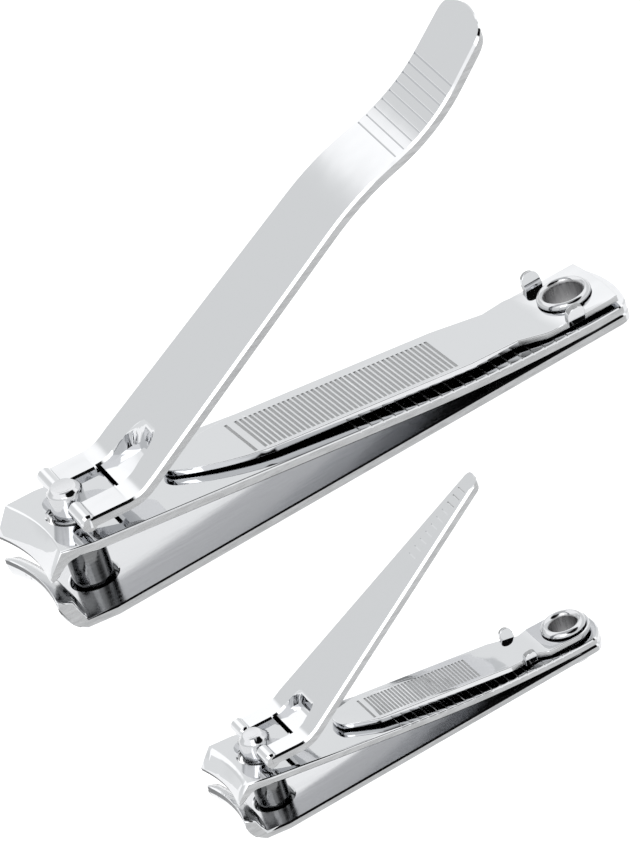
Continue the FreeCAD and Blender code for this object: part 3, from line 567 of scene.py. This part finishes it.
class CLIPPER_OT_rivets(ClipperOperator, bpy.types.Operator):
    """Dress the hollow rivets, the pivot posts and the cross pins"""

    bl_idname = "clipper.rivets"
    bl_label = "Rivets, posts and pins"

    def execute(self, context):
        finish, edges = self.settings(context)
        materials = [nickel_plate(finish), rivet_bore(finish), turned_shank_with_painted_shade(finish)]
        bore, shank = 1, 2
        for clipper in CLIPPERS:
            for rivet, body in (("eyelet", "base"), ("pivot_post", "post"), ("lever_pin", "post")):
                node = f"{clipper}_{rivet}"
                piece, shape = copy_of(node)
                if rivet == "eyelet":
                    paint_bore(shape, node, bore)
                if rivet == "pivot_post":
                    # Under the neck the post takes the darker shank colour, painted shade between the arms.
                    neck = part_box(f"{clipper}_lever_pin")[0][2] - edges.neck_drop
                    paint_shaded_shank(shape, neck, shank)
                round_edges(shape, edges.rivet_round, edges, edges.segments)
                finish_piece(piece, shape, node, f"{clipper}_{body}", materials, edges.crease)
        return {"FINISHED"}


class CLIPPER_OT_files(ClipperOperator, bpy.types.Operator):
    """Dress the nail files: plated strip with a hatch of cut lines"""

    bl_idname = "clipper.files"
    bl_label = "Nail files"

    def execute(self, context):
        finish, edges = self.settings(context)
        materials = [chrome_plate(finish), sheared_edge(finish), file_cut(finish)]
        plate, sheared, cut = range(3)
        for clipper in CLIPPERS:
            node = f"{clipper}_nail_file"
            piece, shape = copy_of(node)
            paint_sides(shape, sheared)
            paint_tabs(shape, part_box(node)[0][2] + edges.tab_rise, plate)
            paint_cuts(shape, edges.smallest_face, cut)
            round_edges(shape, edges.file_round, edges, edges.segments)
            finish_piece(piece, shape, node, f"{clipper}_file", materials, edges.crease)
        return {"FINISHED"}


class CLIPPER_OT_levers(ClipperOperator, bpy.types.Operator):
    """Dress the forked thumb levers: mirror faces, satin outer sides and tips"""

    bl_idname = "clipper.levers"
    bl_label = "Levers"

    def execute(self, context):
        finish, edges = self.settings(context)
        materials = [chrome_plate(finish), sheared_edge(finish)]
        plate, sheared = range(2)
        for clipper in CLIPPERS:
            node = f"{clipper}_lever"
            piece, shape = copy_of(node, new_normals=True)
            across = hinge_axis(f"{clipper}_lever_press")
            shape.normal_update()
            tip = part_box(node)[1][2] - edges.tip_height
            middle = middle_of(f"{clipper}_lever_pin")
            for face in shape.faces:
                offset = (face.calc_center_median() - middle).dot(across)
                side = face.normal.dot(across) * math.copysign(1, offset) > LEVER_SIDE_LEAST
                end = abs(face.normal.z) < TIP_WALL_MOST and face.calc_center_median().z > tip
                face.material_index = sheared if side or end else plate
            bevel = edges.lever_bevel if clipper == "toenail" else edges.small_bevel
            round_edges(shape, bevel, edges, segments=1, upper_only=True)
            finish_piece(piece, shape, node, f"{clipper}_thumb_lever", materials, edges.lever_crease)
        return {"FINISHED"}


class CLIPPER_OT_studio(ClipperOperator, bpy.types.Operator):
    """Set up the white floor, the light tent, the softbox and the camera"""

    bl_idname = "clipper.studio"
    bl_label = "Studio"

    def execute(self, context):
        studio = context.scene.clipper_studio
        lay_floor(context.scene, studio)
        hang_tent(context.scene, studio)
        hang_softbox(context.scene, studio)
        set_camera(context.scene, studio)
        return {"FINISHED"}


# Studio


def lay_floor(scene, studio):
    """Lay the sheet of acrylic that the set lies on."""
    half = studio.floor_width / 2
    mesh = bpy.data.meshes.new("floor")
    corners = [(-half, -half, 0), (half, -half, 0), (half, half, 0), (-half, half, 0)]
    mesh.from_pydata(corners, [], [(0, 1, 2, 3)])
    floor = bpy.data.objects.new("floor", mesh)
    scene.collection.objects.link(floor)
    # Opal acrylic lit from below: matte and even, and its glow takes most of the contact shadow away.
    acrylic = bpy.data.materials.new("backlit_opal_acrylic")
    acrylic.use_nodes = True
    shader = acrylic.node_tree.nodes["Principled BSDF"]
    shader.inputs["Base Color"].default_value = studio.floor
    shader.inputs["Roughness"].default_value = studio.floor_roughness
    shader.inputs["Emission Color"].default_value = studio.glow
    shader.inputs["Emission Strength"].default_value = studio.floor_glow
    mesh.materials.append(acrylic)


def hang_card(tree, place, cloth, toward, tint, reach):
    """Hang a round card in front of the cloth, and return the colour of both."""
    rim, middle = reach
    # Both inputs of a dot product have the same name, so they go by their place.
    facing = add_node(tree, "ShaderNodeVectorMath", {"operation": "DOT_PRODUCT"}, {
        0: place.outputs["Generated"], 1: Vector(toward).normalized(),
    })
    cover = add_node(tree, "ShaderNodeMapRange", {"interpolation_type": "SMOOTHSTEP"}, {
        "Value": facing.outputs["Value"], "From Min": rim, "From Max": middle,
    })
    screen = add_node(tree, "ShaderNodeMix", {"data_type": "RGBA"}, {
        MIX_SHARE: cover.outputs["Result"], MIX_FIRST: cloth, MIX_SECOND: tint,
    })
    return screen.outputs[MIX_RESULT]


def hang_tent(scene, studio):
    """Hang the tent round the table: grey walls and a white roof.

    A grey card hangs behind the levers, a black flag above the camera, and the roof has a grey vent.
    """
    world = bpy.data.worlds.new("light_tent")
    world.use_nodes = True
    scene.world = world
    tree = world.node_tree
    tree.nodes.clear()
    place = add_node(tree, "ShaderNodeTexCoord")
    parts = add_node(tree, "ShaderNodeSeparateXYZ", inputs={"Vector": place.outputs["Generated"]})
    height = add_node(tree, "ShaderNodeMapRange", {"interpolation_type": "SMOOTHSTEP"}, {
        "Value": parts.outputs["Z"], "From Min": WALL_ENDS, "From Max": ROOF_STARTS,
    })
    tent = add_node(tree, "ShaderNodeMix", {"data_type": "RGBA"}, {
        MIX_SHARE: height.outputs["Result"], MIX_FIRST: studio.tent_low, MIX_SECOND: studio.tent_high,
    })
    cloth = tent.outputs[MIX_RESULT]
    cloth = hang_card(tree, place, cloth, studio.card_toward, studio.card, CARD_REACH)
    cloth = hang_card(tree, place, cloth, studio.flag_toward, studio.flag, FLAG_REACH)
    cloth = hang_card(tree, place, cloth, studio.vent_toward, studio.vent, VENT_REACH)
    glow = add_node(tree, "ShaderNodeBackground", inputs={"Color": cloth, "Strength": studio.tent_strength})
    add_node(tree, "ShaderNodeOutputWorld", inputs={"Surface": glow.outputs["Background"]})


def hang_softbox(scene, studio):
    """Hang a softbox at the left, which lights the bevels."""
    data = bpy.data.lights.new("left_softbox", "AREA")
    data.shape = "SQUARE"
    data.size = studio.softbox_width
    data.energy = studio.softbox_power
    lamp = bpy.data.objects.new("left_softbox", data)
    scene.collection.objects.link(lamp)
    lamp.location = studio.softbox_place
    toward = Vector(studio.softbox_aim) - Vector(studio.softbox_place)
    lamp.rotation_mode = "QUATERNION"
    lamp.rotation_quaternion = toward.to_track_quat("-Z", "Y")
    lamp.visible_camera = False


def set_camera(scene, studio):
    """Stand the camera where the photograph was taken from, with a long lens."""
    azimuth, elevation, roll = studio.camera_azimuth, studio.camera_elevation, studio.camera_roll
    back = Vector((
        math.cos(elevation) * math.sin(azimuth),
        -math.cos(elevation) * math.cos(azimuth),
        math.sin(elevation),
    ))
    level = UP.cross(back).normalized()
    upright = back.cross(level)
    right = math.cos(roll) * level + math.sin(roll) * upright
    up = math.cos(roll) * upright - math.sin(roll) * level
    data = bpy.data.cameras.new("camera")
    data.sensor_width = SENSOR_WIDTH
    data.lens = studio.focal_pixels * SENSOR_WIDTH / IMAGE_LONG_SIDE
    data.clip_end = FARTHEST_VIEW
    camera = bpy.data.objects.new("camera", data)
    scene.collection.objects.link(camera)
    slide = studio.slide_right * right + studio.slide_up * up
    spot = Vector(studio.camera_aim) + slide + studio.camera_distance * back
    turn = Matrix((right, up, back)).transposed().to_4x4()
    camera.matrix_world = Matrix.Translation(spot) @ turn
    scene.camera = camera
    scene.view_settings.view_transform = "Standard"


# Panel and registration


class CLIPPER_PT_panel(bpy.types.Panel):
    """Lists the pieces of the set in the sidebar."""

    bl_idname = "CLIPPER_PT_panel"
    bl_label = "Nail Clipper Set"
    bl_space_type = "VIEW_3D"
    bl_region_type = "UI"
    bl_category = "Clippers"

    def draw(self, context):
        for operator in OPERATORS:
            self.layout.operator(operator.bl_idname)


OPERATORS = (CLIPPER_OT_jaws, CLIPPER_OT_rivets, CLIPPER_OT_files, CLIPPER_OT_levers, CLIPPER_OT_studio)
GROUPS = {"clipper_finish": ClipperFinish, "clipper_edges": ClipperEdges, "clipper_studio": ClipperStudio}


def register():
    """Register the property groups, the operators and the panel."""
    for group in (*GROUPS.values(), *OPERATORS, CLIPPER_PT_panel):
        bpy.utils.register_class(group)
    for name, group in GROUPS.items():
        setattr(bpy.types.Scene, name, bpy.props.PointerProperty(type=group))


def unregister():
    """Take them all out again, in reverse order."""
    for name in GROUPS:
        delattr(bpy.types.Scene, name)
    for group in (CLIPPER_PT_panel, *reversed(OPERATORS), *reversed(GROUPS.values())):
        bpy.utils.unregister_class(group)


def main():
    """Dress the set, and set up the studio."""
    register()
    bpy.ops.clipper.jaws()
    bpy.ops.clipper.rivets()
    bpy.ops.clipper.files()
    bpy.ops.clipper.levers()
    bpy.ops.clipper.studio()


if __name__ == "__main__":
    main()
